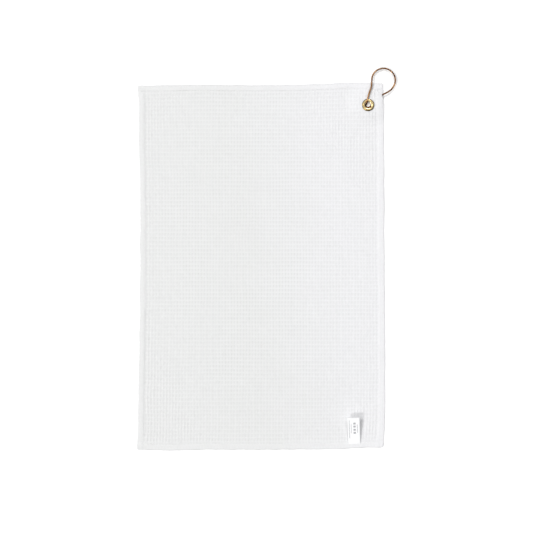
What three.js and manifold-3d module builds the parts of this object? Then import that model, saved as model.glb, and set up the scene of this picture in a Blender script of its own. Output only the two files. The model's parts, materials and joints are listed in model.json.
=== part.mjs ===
// Golf towel: a waffle-weave cloth with four sewn hems, a brass grommet in its top right corner, an open
// ring hook that swivels in the grommet, and a folded care label sewn into the bottom hem.
// Millimetres. The towel lies flat with its underside at z = 0, +Y runs up its length, and the origin is
// the centre of the panel. It exports a THREE.Group with one named mesh for each piece.
import * as THREE from "three";
import { mergeVertices } from "three/addons/utils/BufferGeometryUtils.js";
import Module from "manifold-3d";

const wasm = await Module();
wasm.setup();

// Driving dimensions
const gap = 0.3; // clearance between neighbouring pieces

const towel = { width: 406.4, length: 609.6, thickness: 1.5 };
const hem = { width: 9.5, thickness: 2.4, edgeRadius: 1.1 };
const thread = { fromEdge: 8.1, width: 0.7, height: 0.45, proud: 0.15 };

const grommet = {
  fromRight: 24.6,
  fromTop: 35.1,
  holeRadius: 5.3,
  barrelWall: 0.5,
  flangeRadius: 10.3,
  domeHeight: 1.1,
  washerThickness: 0.5,
};

const wireRadius = 1.2;
const ring = { x: 25.6, y: 41.6, radius: 19.6, fall: 3.6 }; // centre from the grommet; fall in degrees
const eye = { x: -0.3, y: 2.9, radius: 6.5 };

// The label turns where it leaves the hem, at this distance from the towel's edge. Lean and lift in degrees.
const label = { x: 155, fromEdge: 10.6, width: 20.4, length: 43, ply: 0.3, pocket: 0.4, lean: 1.6, lift: 11 };

// Derived places
const centre = {
  x: towel.width / 2 - grommet.fromRight,
  y: towel.length / 2 - grommet.fromTop,
};
const eyeLevel = wireRadius + 0.1; // the eye of the hook lies just above the ground
const washerLevel = eyeLevel + wireRadius + gap;
const clothRise = washerLevel + grommet.washerThickness + gap; // how far the grommet stack lifts the cloth
const flangeLevel = clothRise + towel.thickness + gap;
const domeTop = flangeLevel + grommet.domeHeight;
const shankLevel = domeTop + gap + wireRadius;
const barrelRadius = grommet.holeRadius + grommet.barrelWall;

// The cloth lies flat, except that it rises to a low plateau over the grommet's washer and the hook's eye.
const plateauRadius = 13;
const slopeRadius = 40;
function riseAt(x, y) {
  const away = Math.hypot(x - centre.x, y - centre.y);
  return clothRise * (1 - THREE.MathUtils.smoothstep(away, plateauRadius, slopeRadius));
}

function laidOverGrommet(geometry) {
  const p = geometry.getAttribute("position");
  for (let i = 0; i < p.count; i++) {
    p.setZ(i, p.getZ(i) + riseAt(p.getX(i), p.getY(i)));
  }
  return geometry;
}

// Booleans
function solid(geometry) {
  const bare = geometry.clone();
  bare.deleteAttribute("normal");
  bare.deleteAttribute("uv");
  const merged = mergeVertices(bare, 1e-4);
  return new wasm.Manifold(
    new wasm.Mesh({
      numProp: 3,
      vertProperties: merged.getAttribute("position").array,
      triVerts: new Uint32Array(merged.index.array),
    }),
  );
}

function geometryOf(made) {
  const mesh = made.getMesh();
  const geometry = new THREE.BufferGeometry();
  geometry.setAttribute("position", new THREE.BufferAttribute(mesh.vertProperties, 3));
  geometry.setIndex(new THREE.BufferAttribute(mesh.triVerts, 1));
  geometry.computeVertexNormals();
  return geometry;
}

// Materials
function finish(color, roughness, metalness) {
  return new THREE.MeshStandardMaterial({ color, roughness, metalness });
}
const waffleCloth = finish("#ececee", 0.95, 0);
const hemCloth = finish("#e9e9ea", 0.9, 0);
const sewingThread = finish("#f1f1f1", 0.7, 0);
const brass = finish("#c9a765", 0.28, 1);
const copperWire = finish("#9a6a4c", 0.3, 1);
const labelRibbon = finish("#fbfbfd", 0.6, 0);

const group = new THREE.Group();
group.name = "golf_towel";

function addPiece(name, geometry, material) {
  const mesh = new THREE.Mesh(geometry, material);
  mesh.name = name;
  group.add(mesh);
}

// Cloth panel, inside the hems. Its grid lines crowd towards the grommet's corner, where the cloth rises.
function clothPanel() {
  const columns = 16;
  const rows = 22;
  const width = towel.width - 2 * (hem.width + gap);
  const length = towel.length - 2 * (hem.width + gap);
  const panel = new THREE.BoxGeometry(width, length, towel.thickness, columns, rows, 1);
  const crowded = (value, span) => span * (0.5 - (0.5 - value / span) ** 1.9);
  const p = panel.getAttribute("position");
  for (let i = 0; i < p.count; i++) {
    p.setXYZ(i, crowded(p.getX(i), width), crowded(p.getY(i), length), p.getZ(i) + towel.thickness / 2);
  }
  const punch = new THREE.CylinderGeometry(barrelRadius + gap, barrelRadius + gap, 4 * clothRise, 40);
  punch.rotateX(Math.PI / 2).translate(centre.x, centre.y, clothRise);
  return geometryOf(solid(laidOverGrommet(panel)).subtract(solid(punch)));
}

// A hem runs along +X here, with its folded outer edge at y = 0 and its sewn edge at y = hem.width.
// The section is drawn as (y, z) and has a shallow groove where the stitches pull the folds together.
function hemSection() {
  const r = hem.edgeRadius;
  const top = hem.thickness;
  const grooveHalf = thread.width / 2 + gap;
  const grooveFloor = top + thread.proud - thread.height - gap;
  const section = new THREE.Shape();
  section.moveTo(r, 0);
  section.lineTo(hem.width, 0);
  section.lineTo(hem.width, top);
  section.lineTo(thread.fromEdge + grooveHalf, top);
  section.lineTo(thread.fromEdge + grooveHalf, grooveFloor);
  section.lineTo(thread.fromEdge - grooveHalf, grooveFloor);
  section.lineTo(thread.fromEdge - grooveHalf, top);
  section.lineTo(r, top);
  section.absarc(r, top - r, r, Math.PI / 2, Math.PI, false);
  section.lineTo(0, r);
  section.absarc(r, r, r, Math.PI, 1.5 * Math.PI, false);
  return section;
}

function threadSection() {
  const top = hem.thickness + thread.proud;
  const half = thread.width / 2;
  const section = new THREE.Shape();
  section.moveTo(thread.fromEdge - half, top - thread.height);
  section.lineTo(thread.fromEdge + half, top - thread.height);
  section.lineTo(thread.fromEdge + half, top);
  section.lineTo(thread.fromEdge - half, top);
  return section;
}

// Extrudes a (y, z) section along X, centred on x = 0.
function alongX(section, length, steps) {
  const options = { depth: length, steps, bevelEnabled: false, curveSegments: 2 };
  const bar = new THREE.ExtrudeGeometry(section, options);
  bar.applyMatrix4(new THREE.Matrix4().set(0, 0, 1, -length / 2, 1, 0, 0, 0, 0, 1, 0, 0, 0, 0, 0, 1));
  return bar;
}

function addHems() {
  const halfWidth = towel.width / 2;
  const halfLength = towel.length / 2;
  const sideLength = towel.length - 2 * (hem.width + gap);
  const sides = [
    { name: "bottom", run: towel.width, turn: 0, x: 0, y: -halfLength },
    { name: "right", run: sideLength, turn: 90, x: halfWidth, y: 0 },
    { name: "top", run: towel.width, turn: 180, x: 0, y: halfLength },
    { name: "left", run: sideLength, turn: 270, x: -halfWidth, y: 0 },
  ];
  const stepLength = 20;
  const threadEnd = 1.5; // the stitches stop this far from the end of their hem
  for (const { name, run, turn, x, y } of sides) {
    const steps = Math.round(run / stepLength);
    const placed = (geometry) => {
      geometry.rotateZ(THREE.MathUtils.degToRad(turn)).translate(x, y, 0);
      return laidOverGrommet(geometry);
    };
    addPiece("hem_" + name, placed(alongX(hemSection(), run, steps)), hemCloth);
    addPiece("stitching_" + name, placed(alongX(threadSection(), run - 2 * threadEnd, steps)), sewingThread);
  }
}

// Grommet: both parts are turned profiles, given as (radius, height), on the grommet's own axis.
function turned(points) {
  const lathe = new THREE.LatheGeometry([...points, points[0]], 32);
  return lathe.rotateX(Math.PI / 2).translate(centre.x, centre.y, 0);
}

function arcPoints(cx, cy, rx, ry, fromDegrees, toDegrees, count) {
  return Array.from({ length: count + 1 }, (_, i) => {
    const a = THREE.MathUtils.degToRad(fromDegrees + ((toDegrees - fromDegrees) * i) / count);
    return new THREE.Vector2(cx + rx * Math.cos(a), cy + ry * Math.sin(a));
  });
}

function eyelet() {
  const lip = 0.3; // the flange's outer edge is this thick
  const mid = (grommet.holeRadius + grommet.flangeRadius) / 2;
  const halfSpan = (grommet.flangeRadius - grommet.holeRadius) / 2;
  return turned([
    new THREE.Vector2(grommet.holeRadius, washerLevel),
    new THREE.Vector2(barrelRadius, washerLevel),
    new THREE.Vector2(barrelRadius, flangeLevel),
    new THREE.Vector2(grommet.flangeRadius, flangeLevel),
    ...arcPoints(mid, flangeLevel + lip, halfSpan, grommet.domeHeight - lip, 0, 180, 8),
  ]);
}

function washer() {
  const inner = barrelRadius + gap;
  const outer = grommet.flangeRadius - 0.1;
  const half = grommet.washerThickness / 2;
  return turned([
    new THREE.Vector2(inner, washerLevel),
    ...arcPoints(outer - half, washerLevel + half, half, half, -90, 90, 4),
    new THREE.Vector2(inner, washerLevel + 2 * half),
  ]);
}

// Hook: one length of round wire. From its end it makes an eye behind the cloth, rises through the grommet,
// crosses the flange as a shank, and bends round into an open ring with a free tip.
const fallSlope = Math.tan(THREE.MathUtils.degToRad(ring.fall));
const ringReach = Math.hypot(ring.x, ring.y);

// The ring's plane falls from above the flange towards the far side of the ring.
function upperLevel(x, y) {
  const along = (x * ring.x + y * ring.y) / ringReach;
  return shankLevel - fallSlope * Math.max(0, along - grommet.flangeRadius);
}

function hookRoute() {
  const point = (x, y, z) => new THREE.Vector3(x, y, z);
  const eyeEnd = 125;
  const eyeStart = -75;
  const eyeArc = arcPoints(eye.x, eye.y, eye.radius, eye.radius, eyeEnd, eyeStart, 14).map(({ x, y }) =>
    point(x, y, eyeLevel),
  );
  const throughHole = [
    point(-0.9, -3.5, eyeLevel),
    point(-2.9, -2.7, eyeLevel),
    point(-3.9, -1.1, eyeLevel + 0.15),
    point(-3.7, 0.3, eyeLevel + 1.1),
    point(-3.1, 1.5, eyeLevel + 2.7),
    point(-2.6, 2.6, eyeLevel + 4.3),
    point(-2.2, 4.2, shankLevel - 0.75),
    point(-1.7, 6.6, shankLevel),
  ];
  const shank = [
    [-0.9, 11],
    [0.7, 16.9],
    [2.6, 22.8],
    [4.4, 28],
    [5.3, 31.6],
    [5.7, 35.6],
  ];
  const ringArc = arcPoints(ring.x, ring.y, ring.radius, ring.radius, 182, -32, 30).map(({ x, y }) => [x, y]);
  const tail = [
    [39.2, 26.7],
    [35.1, 23],
    [30.4, 20.2],
    [26.6, 18.3],
    [23, 16.5],
  ];
  const above = [...shank, ...ringArc, ...tail].map(([x, y]) => point(x, y, upperLevel(x, y)));
  return new THREE.CatmullRomCurve3([...eyeArc, ...throughHole, ...above], false, "centripetal");
}

function hookWire() {
  const section = new THREE.Shape();
  section.absarc(0, 0, wireRadius, 0, 2 * Math.PI, false);
  const route = hookRoute();
  route.arcLengthDivisions = 1200;
  const wire = new THREE.ExtrudeGeometry(section, {
    steps: 110,
    curveSegments: 4,
    bevelEnabled: false,
    extrudePath: route,
  });
  return wire.translate(centre.x, centre.y, 0);
}

// Care label: a ribbon folded in two at its free end, with both cut ends at the hem. The section is drawn
// as (distance from the hinge, height), and the hinge line lies just above the hem's top.
const labelHinge = {
  y: -towel.length / 2 + label.fromEdge,
  z: hem.thickness + thread.proud + gap + label.ply + label.pocket / 2,
};

function labelSection() {
  const inner = label.pocket / 2;
  const outer = inner + label.ply;
  const start = 0.6;
  const bend = label.length - outer;
  const section = new THREE.Shape();
  section.moveTo(start, -outer);
  section.lineTo(bend, -outer);
  section.absarc(bend, 0, outer, -Math.PI / 2, Math.PI / 2, false);
  section.lineTo(start, outer);
  section.lineTo(start, inner);
  section.lineTo(bend, inner);
  section.absarc(bend, 0, inner, Math.PI / 2, -Math.PI / 2, true);
  section.lineTo(start, -inner);
  return section;
}

function careLabel() {
  return alongX(labelSection(), label.width, 1)
    .rotateX(THREE.MathUtils.degToRad(label.lift))
    .rotateZ(THREE.MathUtils.degToRad(label.lean))
    .translate(label.x, labelHinge.y, labelHinge.z);
}

addPiece("towel_cloth", clothPanel(), waffleCloth);
addHems();
addPiece("grommet_eyelet", eyelet(), brass);
addPiece("grommet_washer", washer(), brass);
addPiece("hook_wire", hookWire(), copperWire);
addPiece("care_label", careLabel(), labelRibbon);

export default group;
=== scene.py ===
"""Looks of a waffle-weave golf towel laid flat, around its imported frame.

Lengths in this script are millimetres in the frame's own axes, until new_piece() turns them into metres.
The cloth, hems, stitches, grommet, hook and label are all built in mesh code from the frame's boxes.
"""
import json
import math

import bpy
import mathutils
import numpy as np
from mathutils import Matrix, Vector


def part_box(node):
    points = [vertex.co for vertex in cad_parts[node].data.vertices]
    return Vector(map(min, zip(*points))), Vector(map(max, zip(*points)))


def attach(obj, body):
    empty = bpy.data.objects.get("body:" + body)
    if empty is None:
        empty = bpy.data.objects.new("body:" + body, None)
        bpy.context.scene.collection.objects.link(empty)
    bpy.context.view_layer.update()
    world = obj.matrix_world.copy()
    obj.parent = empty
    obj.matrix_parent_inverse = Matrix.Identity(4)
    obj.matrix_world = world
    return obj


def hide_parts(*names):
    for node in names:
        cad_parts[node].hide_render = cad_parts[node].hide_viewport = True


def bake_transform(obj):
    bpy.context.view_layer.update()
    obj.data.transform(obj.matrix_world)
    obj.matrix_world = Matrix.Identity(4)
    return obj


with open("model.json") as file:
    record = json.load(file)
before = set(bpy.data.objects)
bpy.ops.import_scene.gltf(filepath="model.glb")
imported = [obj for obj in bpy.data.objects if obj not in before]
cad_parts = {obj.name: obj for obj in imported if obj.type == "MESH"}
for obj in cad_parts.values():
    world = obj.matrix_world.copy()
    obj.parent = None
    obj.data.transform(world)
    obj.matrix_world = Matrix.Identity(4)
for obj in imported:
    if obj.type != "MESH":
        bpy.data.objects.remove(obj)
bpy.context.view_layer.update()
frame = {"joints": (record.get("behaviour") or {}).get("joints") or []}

MM = 0.001


def box_mm(node):
    """Lowest and highest corner of a CAD node, in millimetres."""
    low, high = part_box(node)
    return np.array(low) / MM, np.array(high) / MM


def joint_mm(name):
    joint = next(j for j in frame["joints"] if j["name"] == name)
    return np.array(joint["pos_m"]) / MM


# The part's own sizes that the frame's boxes don't show
CLOTH_THICKNESS = 1.5
HOLE_RADIUS = 5.3
BARREL_WALL = 0.5
GAP = 0.3  # between neighbouring pieces

# Places and sizes from the frame
hem_low, hem_high = box_mm("hem_bottom")
TOWEL_WIDTH = hem_high[0] - hem_low[0]
TOWEL_LENGTH = box_mm("hem_top")[1][1] - hem_low[1]
HEM_WIDTH = hem_high[1] - hem_low[1]
washer_low, washer_high = box_mm("grommet_washer")
eyelet_low, eyelet_high = box_mm("grommet_eyelet")
GROMMET = (washer_low + washer_high)[:2] / 2
CLOTH_RISE = washer_high[2] + GAP
FLANGE_RADIUS = (eyelet_high[0] - eyelet_low[0]) / 2
FLANGE_LEVEL = CLOTH_RISE + CLOTH_THICKNESS + GAP
LABEL_HINGE = joint_mm("label_flap")

# Weave
CELLS = (81, 91)  # waffle cells across and along the towel
CELL = (TOWEL_WIDTH / CELLS[0], TOWEL_LENGTH / CELLS[1])
SAMPLES = 4  # mesh columns and rows in each cell
RELIEF = 0.95  # the pits' depth
# Painted shade on the cloth: a little everywhere, and more in the waffle's pits
RIDGE_SHADE, PIT_SHADE = 0.05, 0.28
PANEL_TUCK = 1.6  # how far the panel runs in under the hems
PANEL_HOLE = HOLE_RADIUS + 1.9

# Sewing
STITCH_LINE = 8.1  # from the towel's edge
STITCH_PITCH = 3.0
THREAD_RADIUS = 0.2
LABEL_UNDER_THREAD = 0.72  # how much the label raises the stitches that catch it


# ---------------------------------------------------------------- numbers

def smoothstep(value, low, high):
    t = np.clip((value - low) / (high - low), 0, 1)
    return t * t * (3 - 2 * t)


def bump(value, centre, width):
    return np.exp(-((value - centre) / width) ** 2)


def smooth_noise(x, y, size, seed):
    """A smooth random field, mostly within -1 to 1, with features about that size across."""
    rng = np.random.default_rng(seed)
    waves = 9
    total = np.zeros(np.broadcast(x, y).shape)
    for _ in range(waves):
        heading = rng.uniform(0, 2 * math.pi)
        k = 2 * math.pi / (size * rng.uniform(0.8, 1.7))
        phase = rng.uniform(0, 2 * math.pi)
        total += np.cos(k * (x * math.cos(heading) + y * math.sin(heading)) + phase)
    return total / math.sqrt(2 * waves)


# ---------------------------------------------------------------- how the towel lies

def crease(x, y, start, end, height, width):
    """A soft ridge in the cloth from start to end, fading out at both ends."""
    start, end = np.array(start), np.array(end)
    run = end - start
    length = np.hypot(*run)
    along = ((x - start[0]) * run[0] + (y - start[1]) * run[1]) / length**2
    aside = ((x - start[0]) * run[1] - (y - start[1]) * run[0]) / length
    fade = smoothstep(along, -0.15, 0.35) * (1 - smoothstep(along, 0.6, 1.2))
    return height * fade * bump(aside, 0, width)


def from_edge(x, y):
    """Distance inwards from the nearest edge of the cut rectangle."""
    return np.minimum(TOWEL_WIDTH / 2 - np.abs(x), TOWEL_LENGTH / 2 - np.abs(y))


def ground(x, y):
    """How far the cloth's underside stands above the floor."""
    away = np.hypot(x - GROMMET[0], y - GROMMET[1])
    rise = CLOTH_RISE * (1 - smoothstep(away, 13, 40))
    free = smoothstep(away, 15, 70)
    swell = 0.25 + 0.14 * smooth_noise(x, y, 190, 3) + 0.04 * smooth_noise(x, y, 60, 4)
    tugged = bump(from_edge(x, y), HEM_WIDTH + 3, 9) * (0.1 + 0.1 * smooth_noise(x, y, 16, 5))
    gx, gy = GROMMET
    folds = (
        crease(x, y, (gx - 13, gy + 5), (gx - 46, gy + 28), 0.32, 3.5)
        + crease(x, y, (gx - 12, gy - 6), (gx - 44, gy - 22), 0.26, 4.0)
        + crease(x, y, (gx - 3, gy - 14), (gx + 12, gy - 52), 0.3, 3.5)
        + crease(x, y, (gx - 9, gy + 12), (gx - 22, gy + 34), 0.2, 3.0)
    )
    return rise + free * np.maximum(swell + tugged, 0) + folds


# How far each edge lies outside the cut rectangle, by distance along it from the middle
LIE = {
    "left": (
        (-299, -285, -223, -140, -56, 27, 110, 177, 228, 278, 294),
        (5.5, 3.0, 2.5, 1.0, -0.5, -0.5, -1.0, 0.5, 1.5, 1.0, 3.5),
    ),
    "right": (
        (-299, -273, -223, -56, 27, 110, 228, 260, 278),
        (1.0, 3.0, 4.0, 3.5, 2.5, 2.0, 2.0, 1.0, 0.5),
    ),
    "top": (
        (-201, -180, -152, -102, -52, 0, 48, 98, 148, 190, 200),
        (-2.5, -2.0, -1.5, -0.5, -1.0, -1.5, -1.0, 0.5, 3.0, 1.5, 2.0),
    ),
    "bottom": (
        (-201, -193, -178, -152, -102, 0, 48, 98, 148, 190),
        (1.5, -0.5, 1.5, 2.5, 0.5, 1.0, 0.0, 0.5, -1.5, -3.0),
    ),
}


def lie(side, along):
    """The side's distance outside the cut rectangle, eased between the places in its table."""
    places, offsets = LIE[side]
    return np.mean([np.interp(along + shift, places, offsets) for shift in range(-12, 13, 4)], axis=0)


def settled(x, y, z):
    """Moves points from the cut rectangle to the towel as it lies: edges bowed, corners drawn out or in."""
    half_w, half_l = TOWEL_WIDTH / 2, TOWEL_LENGTH / 2
    left = np.clip(-x / half_w, 0, 1) ** 3
    right = np.clip(x / half_w, 0, 1) ** 3
    top = np.clip(y / half_l, 0, 1) ** 3
    bottom = np.clip(-y / half_l, 0, 1) ** 3
    dx = right * lie("right", y) - left * lie("left", y)
    dy = top * lie("top", x) - bottom * lie("bottom", x)
    rim = np.maximum(left + right, top + bottom)
    dx = dx + rim * 0.25 * smooth_noise(x, y, 60, 6)
    dy = dy + rim * 0.25 * smooth_noise(x, y, 50, 7)
    return x + dx, y + dy, z + ground(x, y)


# ---------------------------------------------------------------- mesh making

def grid_quads(rows, columns, wrap_rows=False, wrap_columns=False):
    """The faces of a grid of points numbered row by row, closed into a tube or a ring where it wraps."""
    r = np.arange(rows if wrap_rows else rows - 1)
    c = np.arange(columns if wrap_columns else columns - 1)
    r, c = (a.ravel() for a in np.meshgrid(r, c, indexing="ij"))
    r_next, c_next = (r + 1) % rows, (c + 1) % columns
    corners = [r * columns + c, r * columns + c_next, r_next * columns + c_next, r_next * columns + c]
    return np.stack(corners, axis=1)


def signed_volume(points, faces):
    """Above zero when the faces look outwards, and below when they look inwards."""
    total = 0.0
    for group in faces:
        p = points[np.asarray(group)]
        for i in range(1, p.shape[1] - 1):
            total += np.einsum("ij,ij->i", p[:, 0], np.cross(p[:, i], p[:, i + 1])).sum()
    return total


def new_piece(name, points, faces, material, body, slot, replaced, shade=None, pattern=None):
    """A smooth mesh object from points in millimetres and groups of faces, riding on a body.

    Each point may have a shade, which paints shade on cloth, and oxide and painted light on metal, and a
    place in its material's pattern.
    """
    points = np.asarray(points, float).reshape(-1, 3)
    faces = [np.asarray(group) for group in faces if len(group)]
    used, flat = np.unique(np.concatenate([g.ravel() for g in faces]), return_inverse=True)
    points = points[used] * MM
    cuts = np.cumsum([g.size for g in faces])[:-1]
    faces = [part.reshape(g.shape) for part, g in zip(np.split(flat.ravel(), cuts), faces)]
    if signed_volume(points, faces) < 0:
        faces = [group[:, ::-1] for group in faces]
    sizes = np.concatenate([np.full(len(g), g.shape[1]) for g in faces])
    mesh = bpy.data.meshes.new(name)
    mesh.vertices.add(len(points))
    mesh.vertices.foreach_set("co", points.astype(np.float32).ravel())
    mesh.loops.add(int(sizes.sum()))
    mesh.loops.foreach_set("vertex_index", np.concatenate([g.ravel() for g in faces]).astype(np.int32))
    mesh.polygons.add(len(sizes))
    starts = np.concatenate([[0], np.cumsum(sizes)[:-1]])
    mesh.polygons.foreach_set("loop_start", starts.astype(np.int32))
    mesh.polygons.foreach_set("use_smooth", np.ones(len(sizes), bool))
    mesh.update(calc_edges=True)
    mesh.validate()
    mesh.materials.append(material)
    if shade is not None:
        layer = mesh.attributes.new("shade", "FLOAT", "POINT")
        layer.data.foreach_set("value", shade[used].astype(np.float32))
    if pattern is not None:
        corners = np.concatenate([group.ravel() for group in faces])
        layer = mesh.uv_layers.new(name="pattern")
        layer.data.foreach_set("uv", pattern[used][corners].astype(np.float32).ravel())
    piece = bpy.data.objects.new(name, mesh)
    bpy.context.scene.collection.objects.link(piece)
    if body:
        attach(piece, body)
    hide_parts(*replaced)
    return piece


def normals_along(path):
    """Two normals at each point of a path, carried along it without twist."""
    tangents = np.gradient(path, axis=0)
    tangents /= np.linalg.norm(tangents, axis=1)[:, None]
    normal = np.cross(tangents[0], (0.3, 0.2, 1.0))
    normals = []
    for tangent in tangents:
        normal = normal - tangent * (normal @ tangent)
        normal = normal / np.linalg.norm(normal)
        normals.append(normal)
    normals = np.array(normals)
    return normals, np.cross(tangents, normals)


def tube(path, radii, sides):
    """Points and faces of a closed round tube along a path."""
    first, second = normals_along(path)
    a = np.arange(sides) * 2 * math.pi / sides
    ring = first[:, None] * np.cos(a)[None, :, None] + second[:, None] * np.sin(a)[None, :, None]
    points = path[:, None] + ring * np.asarray(radii)[:, None, None]
    count = len(path)
    caps = [np.arange(sides)[None, ::-1], (count - 1) * sides + np.arange(sides)[None]]
    return points.reshape(-1, 3), [grid_quads(count, sides, wrap_columns=True), *caps]


# ---------------------------------------------------------------- materials

def grey(level):
    return (level, level, level)


def shader(name, colour, roughness, metallic=0.0):
    material = bpy.data.materials.new(name)
    material.use_nodes = True
    nodes, links = material.node_tree.nodes, material.node_tree.links
    surface = nodes["Principled BSDF"]
    surface.inputs["Base Color"].default_value = (*colour, 1)
    surface.inputs["Roughness"].default_value = roughness
    surface.inputs["Metallic"].default_value = metallic
    return material, nodes, links, surface


def placed_coordinates(nodes, links, scale=(1, 1, 1), angle=0.0):
    """The frame's coordinates, in metres, stretched and turned."""
    source = nodes.new("ShaderNodeTexCoord")
    mapping = nodes.new("ShaderNodeMapping")
    mapping.inputs["Scale"].default_value = scale
    mapping.inputs["Rotation"].default_value = (0, 0, angle)
    links.new(source.outputs["Object"], mapping.inputs["Vector"])
    return mapping.outputs["Vector"]


def pattern_coordinates(nodes, links):
    """The place in a piece's pattern, across and along."""
    uv = nodes.new("ShaderNodeUVMap")
    uv.uv_map = "pattern"
    split = nodes.new("ShaderNodeSeparateXYZ")
    links.new(uv.outputs["UV"], split.inputs["Vector"])
    return split.outputs["X"], split.outputs["Y"]


def noise(nodes, links, vector, size_mm, detail=2.0, roughness=0.5):
    texture = nodes.new("ShaderNodeTexNoise")
    texture.inputs["Scale"].default_value = 1 / (size_mm * MM)
    texture.inputs["Detail"].default_value = detail
    texture.inputs["Roughness"].default_value = roughness
    links.new(vector, texture.inputs["Vector"])
    return texture.outputs["Fac"]


def bands(nodes, links, vector, period_mm, direction, distortion=0.0):
    """Waves from 0 to 1 that repeat at the period along one axis."""
    texture = nodes.new("ShaderNodeTexWave")
    texture.bands_direction = direction
    texture.inputs["Scale"].default_value = math.pi / 10 / (period_mm * MM)
    texture.inputs["Distortion"].default_value = distortion
    texture.inputs["Detail Scale"].default_value = 1.0
    links.new(vector, texture.inputs["Vector"])
    return texture.outputs["Fac"]


def maths(nodes, links, operation, a, b):
    node = nodes.new("ShaderNodeMath")
    node.operation = operation
    for socket, value in zip(node.inputs, (a, b)):
        if isinstance(value, (int, float)):
            socket.default_value = value
        else:
            links.new(value, socket)
    return node.outputs["Value"]


def ramp(nodes, links, value, low, high, low_colour, high_colour):
    """One colour up to the low value, another from the high value, and a blend between them."""
    node = nodes.new("ShaderNodeMapRange")
    node.data_type = "FLOAT"
    node.inputs["From Min"].default_value = low
    node.inputs["From Max"].default_value = high
    links.new(value, node.inputs["Value"])
    mix = nodes.new("ShaderNodeMix")
    mix.data_type = "RGBA"
    mix.inputs["A"].default_value = (*low_colour, 1)
    mix.inputs["B"].default_value = (*high_colour, 1)
    links.new(node.outputs["Result"], mix.inputs["Factor"])
    return mix.outputs["Result"]


def spread(nodes, links, value, low, high):
    """A value of 0 to 1 moved to the range low to high."""
    node = nodes.new("ShaderNodeMapRange")
    node.inputs["To Min"].default_value = low
    node.inputs["To Max"].default_value = high
    links.new(value, node.inputs["Value"])
    return node.outputs["Result"]


def add_bump(nodes, links, surface, height, distance_mm, strength=1.0):
    node = nodes.new("ShaderNodeBump")
    node.inputs["Distance"].default_value = distance_mm * MM
    node.inputs["Strength"].default_value = strength
    links.new(height, node.inputs["Height"])
    previous = surface.inputs["Normal"]
    if previous.is_linked:
        links.new(previous.links[0].from_socket, node.inputs["Normal"])
    links.new(node.outputs["Normal"], surface.inputs["Normal"])


def cell_ridges(nodes, links):
    """1 along the borders of the waffle cells and nearly 0 inside them. The pattern counts in cells."""
    sides = []
    for place in pattern_coordinates(nodes, links):
        part = maths(nodes, links, "FRACT", place, 0)
        off_centre = maths(nodes, links, "ABSOLUTE", maths(nodes, links, "SUBTRACT", part, 0.5), 0)
        sides.append(maths(nodes, links, "MULTIPLY", off_centre, 2))
    return maths(nodes, links, "POWER", maths(nodes, links, "MAXIMUM", *sides), 5)


def towelling(name, colour, yarn_mm, fluff, has_cells):
    """Brushed microfibre: crossing yarns, fluff on them, ridges if it has cells, and a slow drift in colour.

    Painted light makes it a little greener and greyer on the left, and a little bluer and paler towards the
    upper right.
    """
    material, nodes, links, surface = shader(name, colour, 0.9)
    vector = placed_coordinates(nodes, links)
    drift = maths(nodes, links, "MULTIPLY", noise(nodes, links, vector, 60, 3.0), 0.1)
    # Painted light: over a slow random drift, the colour goes paler and bluer towards +x and +y and greener
    # and greyer towards -x
    place = nodes.new("ShaderNodeSeparateXYZ")
    links.new(vector, place.inputs["Vector"])
    drift = maths(nodes, links, "ADD", place.outputs["X"], drift)
    drift = maths(nodes, links, "ADD", maths(nodes, links, "MULTIPLY", place.outputs["Y"], 0.12), drift)
    greener = [c * k for c, k in zip(colour, (0.957, 0.958, 0.957))]
    bluer = [c * k for c, k in zip(colour, (1.015, 1.011, 1.03))]
    near = ramp(nodes, links, drift, 0.03, 0.19, greener, bluer)
    # Painted shade: where the shade attribute is high the cloth goes towards 0.74 of its colour, in the pits
    # and on the hems' outer folds
    shade = nodes.new("ShaderNodeAttribute")
    shade.attribute_name = "shade"
    depth = shade.outputs["Fac"]
    if has_cells:
        ridges = cell_ridges(nodes, links)
        # Painted shade: the cells' ridges are painted lighter than their floors
        depth = maths(nodes, links, "ADD", depth, maths(nodes, links, "MULTIPLY", ridges, -0.1))
        add_bump(nodes, links, surface, ridges, 0.22)
    tone = nodes.new("ShaderNodeMix")
    tone.data_type = "RGBA"
    links.new(depth, tone.inputs["Factor"])
    links.new(near, tone.inputs["A"])
    tone.inputs["B"].default_value = (*[c * 0.74 for c in colour], 1)
    links.new(tone.outputs["Result"], surface.inputs["Base Color"])
    surface.inputs["Sheen Weight"].default_value = 0.25
    surface.inputs["Sheen Roughness"].default_value = 0.45
    across = bands(nodes, links, vector, yarn_mm, "X", 2.5)
    along = bands(nodes, links, vector, yarn_mm * 1.15, "Y", 2.5)
    add_bump(nodes, links, surface, maths(nodes, links, "MULTIPLY", across, along), 0.07)
    add_bump(nodes, links, surface, noise(nodes, links, vector, 0.45, 3.0, 0.65), fluff)
    rough = spread(nodes, links, noise(nodes, links, vector, 4), 0.82, 1.0)
    links.new(rough, surface.inputs["Roughness"])
    return material


def sewing_thread():
    """Twisted polyester thread."""
    material, nodes, links, surface = shader("thread_white", grey(0.78), 0.55)
    vector = placed_coordinates(nodes, links, angle=0.8)
    twist = bands(nodes, links, vector, 0.16, "X", 0.5)
    shade = ramp(nodes, links, twist, 0, 1, grey(0.76), grey(0.85))
    links.new(shade, surface.inputs["Base Color"])
    surface.inputs["Sheen Weight"].default_value = 0.2
    add_bump(nodes, links, surface, twist, 0.06)
    return material


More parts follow.
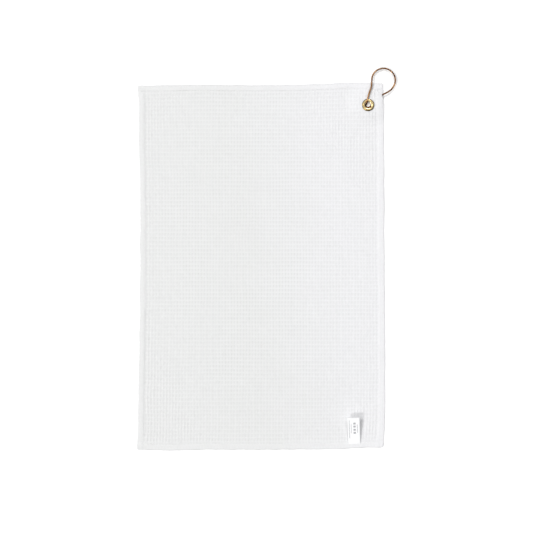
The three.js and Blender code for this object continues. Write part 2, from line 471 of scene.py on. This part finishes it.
def metal(name, colour, worn_and_painted_light_colour, roughness, glancing):
    """Plated, polished metal with faint scratches and smudges, going to its darker colour where random wear
    and the shade attribute add up; the shade attribute carries painted light.
    """
    material, nodes, links, surface = shader(name, colour, roughness, 1.0)
    surface.inputs["Specular Tint"].default_value = (*glancing, 1)
    vector = placed_coordinates(nodes, links)
    wear_and_painted_light = noise(nodes, links, vector, 2.6, 4.0, 0.6)
    # Painted light: the shade attribute adds to the random wear, darkening the eyelet's rim and leaving the
    # hook bright at painted highlights
    shade = nodes.new("ShaderNodeAttribute")
    shade.attribute_name = "shade"
    wear_and_painted_light = maths(nodes, links, "ADD", wear_and_painted_light, shade.outputs["Fac"])
    links.new(ramp(nodes, links, wear_and_painted_light, 0.42, 0.75, colour, worn_and_painted_light_colour), surface.inputs["Base Color"])
    smudge = noise(nodes, links, vector, 1.4, 3.0)
    links.new(spread(nodes, links, smudge, roughness * 0.7, roughness * 1.6), surface.inputs["Roughness"])
    streaks = placed_coordinates(nodes, links, scale=(1, 7, 3), angle=0.5)
    add_bump(nodes, links, surface, noise(nodes, links, streaks, 0.9, 4.0), 0.012)
    return material


def plain_floor():
    """Matt white, giving off a little light so that it stays white between the lamps."""
    material, nodes, links, surface = shader("floor_pale", grey(0.93), 0.85)
    vector = placed_coordinates(nodes, links)
    drift = noise(nodes, links, vector, 900, 1.0)
    shade = ramp(nodes, links, drift, 0.3, 0.7, grey(0.92), grey(0.94))
    links.new(shade, surface.inputs["Base Color"])
    surface.inputs["Specular IOR Level"].default_value = 0.1
    surface.inputs["Emission Color"].default_value = (1, 1, 1, 1)
    surface.inputs["Emission Strength"].default_value = 0.15
    return material


def printed_ribbon(width, length):
    """White satin ribbon with faint generic print on the side that shows: blank blocks and broken rules."""
    material, nodes, links, surface = shader("ribbon_white", (0.93, 0.93, 0.94), 0.42)
    u, v = pattern_coordinates(nodes, links)

    def within(value, low, high):
        middle, half = (low + high) / 2, (high - low) / 2
        near = maths(nodes, links, "ABSOLUTE", maths(nodes, links, "SUBTRACT", value, middle), 0)
        return maths(nodes, links, "LESS_THAN", near, half)

    def mark(left, right, low, high):
        across = within(u, left / width, right / width)
        return maths(nodes, links, "MULTIPLY", across, within(v, 0.5 + low / length, 0.5 + high / length))

    # Marks lie between two sides across the ribbon, and between two distances from its fold
    rules = [(2.2, 3.3, 3.5, 35), (5.3, 6.3, 10, 26.5), (15.5, 16.5, 11.6, 26)]
    lines = [mark(*rule) for rule in rules]
    blocks = [mark(9.4, 13.2, low, low + 3.2) for low in (8.3, 13.5, 19.0, 24.3)]
    dashes = maths(nodes, links, "FRACT", maths(nodes, links, "MULTIPLY", v, length / 1.9), 0)
    dashed = maths(nodes, links, "LESS_THAN", dashes, 0.8)
    ink = blocks[0]
    for shape in blocks[1:] + [maths(nodes, links, "MULTIPLY", line, dashed) for line in lines]:
        ink = maths(nodes, links, "MAXIMUM", ink, shape)
    vector = placed_coordinates(nodes, links)
    density = spread(nodes, links, noise(nodes, links, vector, 0.5, 2.0), 0.6, 1.0)
    ink = maths(nodes, links, "MULTIPLY", ink, density)
    mix = nodes.new("ShaderNodeMix")
    mix.data_type = "RGBA"
    mix.inputs["A"].default_value = (0.93, 0.93, 0.94, 1)
    mix.inputs["B"].default_value = (0.3, 0.3, 0.32, 1)
    links.new(ink, mix.inputs["Factor"])
    links.new(mix.outputs["Result"], surface.inputs["Base Color"])
    surface.inputs["Sheen Weight"].default_value = 0.15
    warp = bands(nodes, links, vector, 0.3, "X")
    weft = bands(nodes, links, vector, 0.22, "Y")
    add_bump(nodes, links, surface, maths(nodes, links, "ADD", warp, weft), 0.02)
    rough = spread(nodes, links, noise(nodes, links, vector, 2), 0.36, 0.5)
    links.new(rough, surface.inputs["Roughness"])
    return material


# ---------------------------------------------------------------- cloth panel

def waffle(k, m, depths):
    """0 on the ridges between columns of cells and 1 at a cell's middle, times the cell's own depth.

    k and m are sample numbers across and along. The ridges between rows stand a little lower than the others.
    """
    u = np.abs(1 - 2 * ((k % SAMPLES) / SAMPLES))
    v = np.abs(1 - 2 * ((m % SAMPLES) / SAMPLES))
    depth = 1 - np.maximum(u, 0.93 * v) ** 1.6
    return depth * depths[(m // SAMPLES) % depths.shape[0], (k // SAMPLES) % depths.shape[1]]


def cloth_panel():
    """The waffle panel's points and faces, a shade that deepens in the pits, and each point's place in cells.

    There are pits on both faces, those below half a cell off those above, and a hole for the grommet.
    """
    step_x, step_y = CELL[0] / SAMPLES, CELL[1] / SAMPLES
    tuck = HEM_WIDTH - PANEL_TUCK
    k = np.arange(math.ceil(tuck / step_x), math.floor((TOWEL_WIDTH - tuck) / step_x) + 1)
    m = np.arange(math.ceil(tuck / step_y), math.floor((TOWEL_LENGTH - tuck) / step_y) + 1)
    columns, rows = len(k), len(m)
    kk, mm = np.meshgrid(k, m)
    x = -TOWEL_WIDTH / 2 + kk * step_x
    y = -TOWEL_LENGTH / 2 + mm * step_y
    rng = np.random.default_rng(11)
    upper_depths = rng.uniform(0.85, 1.12, (CELLS[1] + 1, CELLS[0] + 1))
    lower_depths = rng.uniform(0.85, 1.12, (CELLS[1] + 1, CELLS[0] + 1))
    wobble_x = 0.45 * smooth_noise(x, y, 70, 12) + 0.12 * smooth_noise(x, y, 9, 13)
    wobble_y = 0.45 * smooth_noise(x, y, 80, 14) + 0.12 * smooth_noise(x, y, 9, 15)
    half_cell = SAMPLES // 2
    pressed = 0.35 + 0.65 * smoothstep(from_edge(x, y), HEM_WIDTH - 1, HEM_WIDTH + 4)
    pits, cells = [], []
    for shift, depths in ((0, upper_depths), (half_cell, lower_depths)):
        pits.append(pressed * waffle(kk + shift, mm + shift, depths))
        cells.append(np.stack([kk + shift, mm + shift], axis=-1).reshape(-1, 2) / SAMPLES)
    upper = CLOTH_THICKNESS - RELIEF * pits[0] + 0.03 * smooth_noise(x, y, 7, 16)
    lower = RELIEF * pits[1]
    layers = []
    for z in (upper, lower):
        layers.append(np.stack(settled(x + wobble_x, y + wobble_y, z), axis=-1).reshape(-1, 3))
    quads = grid_quads(rows, columns)
    middle = layers[0][quads].mean(axis=1)
    kept = np.hypot(middle[:, 0] - GROMMET[0], middle[:, 1] - GROMMET[1]) > PANEL_HOLE
    kept_grid = np.pad(kept.reshape(rows - 1, columns - 1), 1)
    # Walls join the two faces of the cloth wherever a kept quad has no kept neighbour beyond one of its sides
    walls = []
    below = rows * columns
    side_corners = {(-1, 0): (0, 1), (0, 1): (1, 2), (1, 0): (2, 3), (0, -1): (3, 0)}
    for step, (i, j) in side_corners.items():
        beyond = np.roll(kept_grid, (-step[0], -step[1]), axis=(0, 1))[1:-1, 1:-1].ravel()
        rim = quads[kept & ~beyond]
        walls.append(np.stack([rim[:, j], rim[:, i], rim[:, i] + below, rim[:, j] + below], axis=1))
    faces = [quads[kept], quads[kept][:, ::-1] + below, *walls]
    # Painted shade, deepening in the pits
    shade = RIDGE_SHADE + PIT_SHADE * np.concatenate(pits).ravel()
    return np.concatenate(layers), faces, shade, np.concatenate(cells)


# ---------------------------------------------------------------- hems and stitches

SIDES = {
    "bottom": (TOWEL_WIDTH, lambda s, d: (s, -TOWEL_LENGTH / 2 + d)),
    "right": (TOWEL_LENGTH, lambda s, d: (TOWEL_WIDTH / 2 - d, s)),
    "top": (TOWEL_WIDTH, lambda s, d: (-s, TOWEL_LENGTH / 2 - d)),
    "left": (TOWEL_LENGTH, lambda s, d: (-TOWEL_WIDTH / 2 + d, -s)),
}
GROOVE_TOP, GROOVE_BOTTOM = 1.88, 0.42  # the hem's faces where the stitches pull it together
PAINTED_EDGE_SHADE = {"bottom": 0.25, "right": 0.0, "top": 0.3, "left": 0.0}  # painted shade along each outer fold, by side
HEM_RELIEF, HEM_PIT_SHADE = 0.35, 0.12  # what the fold leaves of the waffle
FREE_CLOTH = 7.4  # the hem's face is free of the stitches up to here


def hem_section():
    """The folded hem seen end on, as (distance from the outer edge, height), once round."""
    fold = np.radians([235, 208, 180, 152, 125])
    outer = [(1.2 + 1.2 * math.cos(a), 1.22 + 1.2 * math.sin(a)) for a in fold]
    under = [(9.3, 0.5), (8.1, GROOVE_BOTTOM), (6.4, 0.1), (4, 0), (1.8, 0.0)]
    top = [(1.8, 2.14), (2.6, 2.18), (3.4, 2.18), (4.2, 2.16), (5.0, 2.13), (5.8, 2.08), (6.6, 2.02)]
    top += [(7.2, 1.97), (7.7, 1.92), (8.1, GROOVE_TOP), (8.6, 1.81)]
    inner = [(9.1, 1.72), (9.5, 1.6), (9.75, 1.35), (9.6, 0.9)]
    return np.array(under + outer + top + inner)


def end_extent(side):
    """How far a hem's ends stop short of the towel's corners: the side hems end inside the others."""
    return 0.0 if side in ("top", "bottom") else 2.5


def hem_points(side, s, d, z, seed):
    """Hem coordinates to towel coordinates, with puckers, a wandering edge and rounded, layered ends."""
    run, place = SIDES[side]
    from_end = run / 2 - end_extent(side) - np.abs(s)
    corner = 3.2
    short = np.clip(corner - from_end, 0, corner)
    pulled = corner - np.sqrt(np.maximum(corner**2 - short**2, 0))
    d = d + pulled * (1 - smoothstep(d, 0, 7))
    lip = 1.1
    squeeze = np.sqrt(np.clip(1 - ((lip - np.clip(from_end, 0, lip)) / lip) ** 2, 0.02, 1))
    z = 1.2 + (z - 1.2) * squeeze
    layered = smoothstep(HEM_WIDTH + 4 - from_end, 0, 5)
    over = side in ("top", "bottom")
    z = z * (1 + (0.22 if over else -0.3) * layered)
    upper = smoothstep(z, 0.8, 2.0)
    puff = bump(d, 5.0, 2.6)
    z = z + upper * puff * (0.12 * smooth_noise(s, d, 8, seed) + 0.1 * smooth_noise(s, d, 22, seed + 1))
    edge = 1 - smoothstep(d, 0, 4)
    d = d + edge * (0.3 * smooth_noise(s, 0, 24, seed + 2) + 0.12 * smooth_noise(s, 0, 7, seed + 3))
    x, y = place(s, d)
    return np.stack(settled(x, y, z), axis=-1)


def needle(s):
    """1 at the needle holes and 0 halfway between them."""
    return (0.5 + 0.5 * np.cos(2 * math.pi * s / STITCH_PITCH)) ** 2


def hem_band(side, seed):
    """A hem's points and faces, and a shade for its outer fold and what is left of the waffle's pits."""
    run, _ = SIDES[side]
    half = run / 2 - end_extent(side)
    step = STITCH_PITCH / 5
    s = np.arange(-math.floor(half / step), math.floor(half / step) + 1) * step
    first = -half + np.array([0, 0.12, 0.35])
    s = np.concatenate([first, s[np.abs(s) < half - 0.45], -first[::-1]])
    section = hem_section()
    ss, d = np.meshgrid(s, section[:, 0], indexing="ij")
    z = np.broadcast_to(section[:, 1], d.shape).copy()
    along, across = CELL if side in ("top", "bottom") else CELL[::-1]
    ridge = np.maximum(np.abs(1 - 2 * ((ss / along) % 1.0)), np.abs(1 - 2 * ((d / across) % 1.0)))
    upper = smoothstep(z, 1.2, 2.0)
    z -= upper * HEM_RELIEF * (1 - ridge) * smoothstep(FREE_CLOTH - d, 0, 1.5)
    pinch = bump(d, STITCH_LINE, 0.75) * needle(ss)
    z += np.where(z > 1.1, -0.1, 0.2) * pinch
    points = hem_points(side, ss, d, z, seed)
    rows, columns = d.shape
    caps = [np.arange(columns)[None, ::-1], (rows - 1) * columns + np.arange(columns)[None]]
    faces = [grid_quads(rows, columns, wrap_columns=True), *caps]
    # Painted shade: each outer fold is greyed by side, and what is left of the hem's pits is darkened
    outermost = PAINTED_EDGE_SHADE[side] * (1 - smoothstep(d, 0.6, 2.2))
    pit = HEM_PIT_SHADE * upper * (1 - ridge) * (d < FREE_CLOTH)
    return points.reshape(-1, 3), faces, (outermost + pit).ravel()


def stitch_row(side, seed, label_span):
    """Every stitch of a hem, above and below the cloth, as short closed tubes that dive in at both ends."""
    run, _ = SIDES[side]
    half = run / 2 - 5
    count = math.floor(half / STITCH_PITCH)
    holes = np.arange(-count, count) * STITCH_PITCH
    rng = np.random.default_rng(seed)
    t = np.linspace(-1, 1, 9)
    points, faces, start = [], [], 0
    for above in (True, False):
        for hole in holes:
            slant, lift = rng.uniform(-0.06, 0.06), rng.uniform(-0.03, 0.03)
            s = hole + STITCH_PITCH / 2 + t * STITCH_PITCH * 0.47
            d = STITCH_LINE + slant * t + rng.uniform(-0.06, 0.06)
            dive = 0.42 * np.abs(t) ** 5
            if above:
                z = GROOVE_TOP + 0.1 + lift - dive
                if label_span and label_span[0] < s[len(t) // 2] < label_span[1]:
                    z = z + LABEL_UNDER_THREAD
            else:
                z = GROOVE_BOTTOM - 0.08 + 0.6 * dive
            path = hem_points(side, s, d, z, seed)
            tube_points, tube_faces = tube(path, THREAD_RADIUS * (1 - 0.25 * t**4), 6)
            points.append(tube_points)
            faces.append([group + start for group in tube_faces])
            start += len(tube_points)
    return np.concatenate(points), [np.concatenate(groups) for groups in zip(*faces)]


# ---------------------------------------------------------------- grommet

def lathe(profile, segments=144):
    """Turns a closed (radius, height) profile about the grommet's axis."""
    profile = np.array(profile)
    a = np.arange(segments) * 2 * math.pi / segments
    r = profile[:, 0][None]
    points = np.stack(
        [
            GROMMET[0] + np.cos(a)[:, None] * r,
            GROMMET[1] + np.sin(a)[:, None] * r,
            np.broadcast_to(profile[:, 1], (segments, len(profile))),
        ],
        axis=-1,
    )
    return points.reshape(-1, 3), [grid_quads(segments, len(profile), wrap_rows=True, wrap_columns=True)]


def arc(cx, cy, rx, ry, start, end, count):
    a = np.radians(np.linspace(start, end, count))
    return [(cx + rx * math.cos(t), cy + ry * math.sin(t)) for t in a]


def eyelet_profile():
    """Rolled foot under the washer, barrel, and a flange that slopes from a crest by the hole to its rim."""
    low, top = eyelet_low[2], eyelet_high[2]
    outer = HOLE_RADIUS + BARREL_WALL
    rim = FLANGE_LEVEL + 0.18
    profile = [(HOLE_RADIUS, low + 0.6)]
    profile += arc(HOLE_RADIUS + 0.75, low + 0.42, 0.75, 0.42, 180, 330, 9)
    profile += [(outer + 0.3, low + 0.5), (outer, low + 0.75), (outer, FLANGE_LEVEL - 0.15)]
    profile += [(outer + 0.2, FLANGE_LEVEL + 0.05), (FLANGE_RADIUS - 0.5, FLANGE_LEVEL + 0.02)]
    crest = HOLE_RADIUS + 2.2
    profile += arc(FLANGE_RADIUS - 0.18, rim, 0.18, 0.16, -90, 10, 5)
    profile += [(FLANGE_RADIUS - 0.14, rim + 0.12), (FLANGE_RADIUS - 0.34, rim + 0.3)]
    profile += [(FLANGE_RADIUS - 0.68, rim + 0.52), (FLANGE_RADIUS - 1.05, rim + 0.73)]
    profile += [(FLANGE_RADIUS - 1.4, top - 0.06), (FLANGE_RADIUS - 1.75, top - 0.01)]
    profile += arc(crest, rim, crest - HOLE_RADIUS, top - rim, 85, 176, 20)
    profile += [(HOLE_RADIUS, rim - 0.4), (HOLE_RADIUS, rim - 1.2)]
    return profile


def washer_profile():
    """A thin ring with rounded edges and a flat underside."""
    inner = HOLE_RADIUS + BARREL_WALL + GAP
    outer = (washer_high[0] - washer_low[0]) / 2
    low, top = washer_low[2], washer_high[2]
    half = (top - low) / 2
    profile = arc(inner + half, low + half, half, half, 90, 270, 7)
    profile += [(inner + 1.4, low + 0.06), (outer - 1.6, low + 0.06)]
    return profile + arc(outer - half, low + half, half, half, -90, 90, 7)


# ---------------------------------------------------------------- hook

WIRE_RADIUS = 1.3
EYE_LEVEL = WIRE_RADIUS
SHANK_LEVEL = eyelet_high[2] + 0.2 + WIRE_RADIUS
RING_CENTRE, RING_RADIUS, RING_FALL = (25.6, 41.6), 19.6, math.tan(math.radians(3.6))
EYE_CENTRE, EYE_RADIUS = (-0.3, 2.9), 6.5


def upper_level(x, y):
    """The ring's plane falls from above the flange towards the far side of the ring."""
    along = (x * RING_CENTRE[0] + y * RING_CENTRE[1]) / math.hypot(*RING_CENTRE)
    return SHANK_LEVEL - RING_FALL * max(0.0, along - FLANGE_RADIUS)


def hook_knots():
    """The wire's route about the grommet: eye behind the cloth, rise through the hole, shank, ring, tip."""
    eye = [(x, y, EYE_LEVEL) for x, y in arc(*EYE_CENTRE, EYE_RADIUS, EYE_RADIUS, 125, -75, 15)]
    rise = [
        (-0.9, -3.5, EYE_LEVEL),
        (-2.9, -2.7, EYE_LEVEL),
        (-3.9, -1.1, EYE_LEVEL + 0.15),
        (-3.7, 0.3, EYE_LEVEL + 1.1),
        (-3.1, 1.5, EYE_LEVEL + 2.7),
        (-2.6, 2.6, EYE_LEVEL + 4.3),
        (-2.2, 4.2, SHANK_LEVEL - 0.75),
        (-1.7, 6.6, SHANK_LEVEL),
    ]
    shank = [(-0.9, 11), (0.7, 16.9), (2.6, 22.8), (4.4, 28), (5.3, 31.6), (5.7, 35.6)]
    ring = arc(*RING_CENTRE, RING_RADIUS, RING_RADIUS, 182, -32, 31)
    tail = [(39.2, 26.7), (35.1, 23), (30.4, 20.2), (26.6, 18.3), (23, 16.5)]
    above = [(x, y, upper_level(x, y)) for x, y in shank + ring + tail]
    return np.array(eye + rise + above)


def through(knots, per_span):
    """A smooth centripetal curve through the knots."""
    ends = [2 * knots[0] - knots[1], 2 * knots[-1] - knots[-2]]
    p = np.vstack([ends[0], knots, ends[1]])
    path = []
    for i in range(1, len(p) - 2):
        a, b, c, d = p[i - 1 : i + 3]
        t1, t2, t3 = np.cumsum([math.sqrt(np.linalg.norm(q)) for q in (b - a, c - b, d - c)])
        t = np.linspace(t1, t2, per_span, endpoint=False)[:, None]
        ab = (t1 - t) / t1 * a + t / t1 * b
        bc = (t2 - t) / (t2 - t1) * b + (t - t1) / (t2 - t1) * c
        cd = (t3 - t) / (t3 - t2) * c + (t - t2) / (t3 - t2) * d
        abc = (t2 - t) / t2 * ab + t / t2 * bc
        bcd = (t3 - t) / (t3 - t1) * bc + (t - t1) / (t3 - t1) * cd
        path.append((t2 - t) / (t2 - t1) * abc + (t - t1) / (t2 - t1) * bcd)
    return np.vstack([*path, knots[-1:]])


def hook_tube():
    """The wire's points and faces, and its shade: oxidised dark, except at three places painted bright as
    highlights.
    """
    path = through(hook_knots(), 8)
    lengths = np.concatenate([[0], np.cumsum(np.linalg.norm(np.diff(path, axis=0), axis=1))])
    total = lengths[-1]
    nose = 0.55
    rounded = nose * (1 - np.cos(np.linspace(0, math.pi / 2, 6)))
    at = np.concatenate([rounded, np.linspace(nose, total - nose, 520)[1:-1], total - rounded[::-1]])
    path = np.stack([np.interp(at, lengths, path[:, i]) for i in range(3)], axis=1)
    from_end = np.minimum(at, total - at)
    rounding = np.sqrt(np.clip(1 - (1 - np.clip(from_end / nose, 0, 1)) ** 2, 0, 1))
    radii = WIRE_RADIUS * (0.55 + 0.45 * rounding) * (1 + 0.008 * smooth_noise(at, 0, 9, 21))
    # Painted highlights: three stretches of the wire, over the cloth and on the ring, are painted brighter
    painted_highlight_spots = bump(path[:, 1], 19, 11) * (path[:, 0] < 8) + bump(path[:, 1], 52, 6) * (path[:, 0] < 14)
    painted_highlight_spots += bump(path[:, 1], 33, 7) * (path[:, 0] > 38)
    sides = 28
    path[:, :2] += GROMMET
    tarnish_and_painted_light = 0.3 * (1 - np.clip(painted_highlight_spots, 0, 1)) - 0.1
    return *tube(path, radii, sides), np.repeat(tarnish_and_painted_light, sides)


# ---------------------------------------------------------------- label

LABEL_WIDTH, LABEL_REACH, PLY = 20.4, 44.6, 0.2
LABEL_LEAN, LABEL_SHIFT = math.radians(3.0), 0.9


def label_level(along):
    """Height of the middle of the folded label above the hem's stitches, by distance from them."""
    outward = np.clip(along / LABEL_REACH, 0, 1.05)
    return 0.4 * np.minimum(outward * 8, 1) + 9.7 * outward**1.2


def label_ribbon():
    """One ribbon folded in two, from its lower cut end out to the fold and back to its upper cut end.

    Returns points, faces, each point's share of the way across and along the ribbon, and its length.
    """
    tail = 0.8
    out = np.concatenate([[-tail, -tail * 0.6, -tail * 0.3], np.linspace(0, LABEL_REACH - 1, 64)])
    pocket = 0.03 + PLY / 2 + 0.33 * smoothstep(out, 1, LABEL_REACH * 0.8)
    last = pocket[-1]
    turn = np.radians(np.linspace(-90, 90, 15))[1:-1]
    low = np.stack([out, -pocket], axis=1)
    fold = np.stack([out[-1] + 1.2 * last * np.cos(turn), last * np.sin(turn)], axis=1)
    high = np.stack([out[::-1], pocket[::-1]], axis=1)
    centre = np.vstack([low, fold, high])
    heading = np.gradient(centre, axis=0)
    heading /= np.linalg.norm(heading, axis=1)[:, None]
    normal = np.stack([-heading[:, 1], heading[:, 0]], axis=1)
    ring = np.vstack([centre + normal * PLY / 2, (centre - normal * PLY / 2)[::-1]])
    travelled = np.concatenate([[0], np.cumsum(np.linalg.norm(np.diff(centre, axis=0), axis=1))])
    across = np.linspace(-0.5, 0.5, 17) * LABEL_WIDTH
    w, along = np.meshgrid(across, ring[:, 0], indexing="ij")
    z = np.broadcast_to(ring[:, 1], w.shape) + label_level(along)
    outward = np.clip(along / LABEL_REACH, 0, 1)
    u = w / (LABEL_WIDTH / 2)
    z = z - 0.25 * outward**1.5 * u**2 + 0.6 * outward**2 * u
    z = z + 0.12 * outward * np.sin(3.1 * u + 0.2 * along)
    x = LABEL_HINGE[0] + LABEL_SHIFT + w * math.cos(LABEL_LEAN) - along * math.sin(LABEL_LEAN)
    sewn = np.array([[LABEL_HINGE[0]], [-TOWEL_LENGTH / 2 + STITCH_LINE], [GROOVE_TOP + 0.52]])
    _, sewn_y, sewn_z = settled(*sewn)
    y = sewn_y[0] + w * math.sin(LABEL_LEAN) + along * math.cos(LABEL_LEAN)
    points = np.stack([x, y, sewn_z[0] + z], axis=-1)
    rows, columns = w.shape
    half = columns // 2
    rim = np.arange(half - 1)
    strip = np.stack([rim, rim + 1, columns - 2 - rim, columns - 1 - rim], axis=1)
    faces = [grid_quads(rows, columns, wrap_columns=True), strip[:, ::-1], strip + (rows - 1) * columns]
    printed = np.concatenate([travelled, travelled[::-1]]) / travelled[-1]
    uv = np.stack([w / LABEL_WIDTH + 0.5, np.broadcast_to(printed, w.shape)], axis=-1)
    return points.reshape(-1, 3), faces, uv.reshape(-1, 2), travelled[-1]


# ---------------------------------------------------------------- the pieces

waffle_white = towelling("towelling_waffle", grey(0.8), 0.5, 0.12, True)
hem_white = towelling("towelling_hem", grey(0.798), 0.42, 0.08, False)
thread_white = sewing_thread()
brass = metal("brass_polished", (0.84, 0.66, 0.35), (0.32, 0.23, 0.09), 0.2, (0.9, 0.8, 0.6))
copper = metal("copper_plated", (0.55, 0.31, 0.15), (0.1, 0.04, 0.014), 0.22, (0.5, 0.27, 0.12))

cloth_points, cloth_faces, pit_shade, cells = cloth_panel()
panel = new_piece(
    "cloth_panel",
    cloth_points,
    cloth_faces,
    waffle_white,
    "towel",
    "waffle_cloth",
    ["towel_cloth"],
    shade=pit_shade,
    pattern=cells,
)

hems, seams = [], []
for number, side in enumerate(SIDES):
    seed = 30 + 10 * number
    span = None
    if side == "bottom":
        span = (LABEL_HINGE[0] - LABEL_WIDTH / 2 + 0.3, LABEL_HINGE[0] + LABEL_WIDTH / 2 - 0.3)
    points, faces, shade = hem_band(side, seed)
    node = "hem_" + side
    hems.append(new_piece("hem_band_" + side, points, faces, hem_white, "towel", "hem_cloth", [node], shade))
    points, faces = stitch_row(side, seed, span)
    node = "stitching_" + side
    seam = new_piece("stitches_" + side, points, faces, thread_white, "towel", "sewing_thread", [node])
    seams.append(seam)

eyelet_points, eyelet_faces = lathe(eyelet_profile())
eyelet_reach = np.hypot(*(eyelet_points[:, :2] - GROMMET).T)
# Painted dark reflection: the flange's outer rim is given the metal's darker colour
tarnish_and_painted_light = 0.3 * smoothstep(eyelet_reach, FLANGE_RADIUS - 2.1, FLANGE_RADIUS - 1.1) - 0.04
new_piece("eyelet_ring", eyelet_points, eyelet_faces, brass, "towel", "brass", ["grommet_eyelet"], tarnish_and_painted_light)
new_piece("washer_ring", *lathe(washer_profile()), brass, "towel", "brass", ["grommet_washer"])
# The hook's shade holds its oxide and its painted highlights
hook_points, hook_faces, hook_tarnish_and_highlights = hook_tube()
new_piece("hook_rod", hook_points, hook_faces, copper, "hook", "copper_wire", ["hook_wire"], hook_tarnish_and_highlights)

ribbon_points, ribbon_faces, ribbon_pattern, ribbon_length = label_ribbon()
ribbon_white = printed_ribbon(LABEL_WIDTH, ribbon_length)
ribbon = new_piece(
    "label_fold",
    ribbon_points,
    ribbon_faces,
    ribbon_white,
    None,
    "label_ribbon",
    ["care_label"],
    pattern=ribbon_pattern,
)
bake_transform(ribbon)


# ---------------------------------------------------------------- stage, light and camera

def stage_floor():
    """A wide floor, in metres, just under everything that lies on it."""
    half = 5.0
    corners = [(-half, -half, 0), (half, -half, 0), (half, half, 0), (-half, half, 0)]
    mesh = bpy.data.meshes.new("floor")
    mesh.from_pydata(corners, [], [(0, 1, 2, 3)])
    mesh.materials.append(plain_floor())
    floor = bpy.data.objects.new("floor", mesh)
    floor.location.z = -0.0002
    bpy.context.scene.collection.objects.link(floor)


def softbox(name, place, size, power, colour):
    """A square lamp, placed in metres and aimed at the middle of the towel."""
    lamp = bpy.data.lights.new(name, "AREA")
    lamp.shape = "SQUARE"
    lamp.size = size
    lamp.energy = power
    lamp.color = colour
    holder = bpy.data.objects.new(name, lamp)
    holder.location = place
    holder.rotation_euler = (-mathutils.Vector(place)).to_track_quat("-Z", "Y").to_euler()
    bpy.context.scene.collection.objects.link(holder)


def studio():
    """A key lamp at the lower left, weaker ones at the left and the top, and a glow round the ceiling.

    The camera sees a plain pale backdrop in place of the glow.
    """
    softbox("key", (-5.8, -5.8, 9.0), 3.4, 578, (1.0, 0.998, 0.99))
    softbox("side", (-5.2, 2.0, 7.6), 3.2, 306, (1.0, 0.998, 0.99))
    softbox("top", (1.2, 5.6, 7.6), 3.2, 294, (0.98, 0.99, 1.0))
    world = bpy.data.worlds.new("studio_air")
    world.use_nodes = True
    nodes, links = world.node_tree.nodes, world.node_tree.links
    coordinates = nodes.new("ShaderNodeTexCoord")
    split = nodes.new("ShaderNodeSeparateXYZ")
    links.new(coordinates.outputs["Generated"], split.inputs["Vector"])
    glow = nodes.new("ShaderNodeValToRGB")
    stops = [(0.0, 0.03), (0.5, 0.04), (0.7, 0.08), (0.8, 0.8), (0.95, 0.8), (1.0, 0.35)]
    elements = glow.color_ramp.elements
    for number, (place, level) in enumerate(stops):
        element = elements[number] if number < 2 else elements.new(place)
        element.position = place
        element.color = (level * 0.99, level * 0.995, level, 1)
    links.new(split.outputs["Z"], glow.inputs["Fac"])
    lean = maths(nodes, links, "ADD", maths(nodes, links, "MULTIPLY", split.outputs["X"], -0.1), 1.02)
    lean = maths(nodes, links, "ADD", maths(nodes, links, "MULTIPLY", split.outputs["Y"], 0.6), lean)
    seen = nodes.new("ShaderNodeLightPath").outputs["Is Camera Ray"]
    strength = nodes.new("ShaderNodeMix")
    strength.data_type = "FLOAT"
    links.new(seen, strength.inputs["Factor"])
    links.new(lean, strength.inputs["A"])
    strength.inputs["B"].default_value = 1.0
    colour = nodes.new("ShaderNodeMix")
    colour.data_type = "RGBA"
    links.new(seen, colour.inputs["Factor"])
    links.new(glow.outputs["Color"], colour.inputs["A"])
    colour.inputs["B"].default_value = (0.9, 0.905, 0.91, 1)
    air = nodes["Background"]
    links.new(colour.outputs["Result"], air.inputs["Color"])
    links.new(strength.outputs["Result"], air.inputs["Strength"])
    bpy.context.scene.world = world
    bpy.context.scene.view_settings.view_transform = "Standard"


def overhead_camera():
    """Straight above, in metres, with the towel a little left of the picture's middle."""
    height, view_width, sensor = 1.8, 0.8912, 36.0
    data = bpy.data.cameras.new("camera")
    data.sensor_width = sensor
    data.lens = sensor * height / view_width
    camera = bpy.data.objects.new("camera", data)
    camera.location = (0.00905, 0.0004, height)
    bpy.context.scene.collection.objects.link(camera)
    bpy.context.scene.camera = camera


stage_floor()
studio()
overhead_camera()
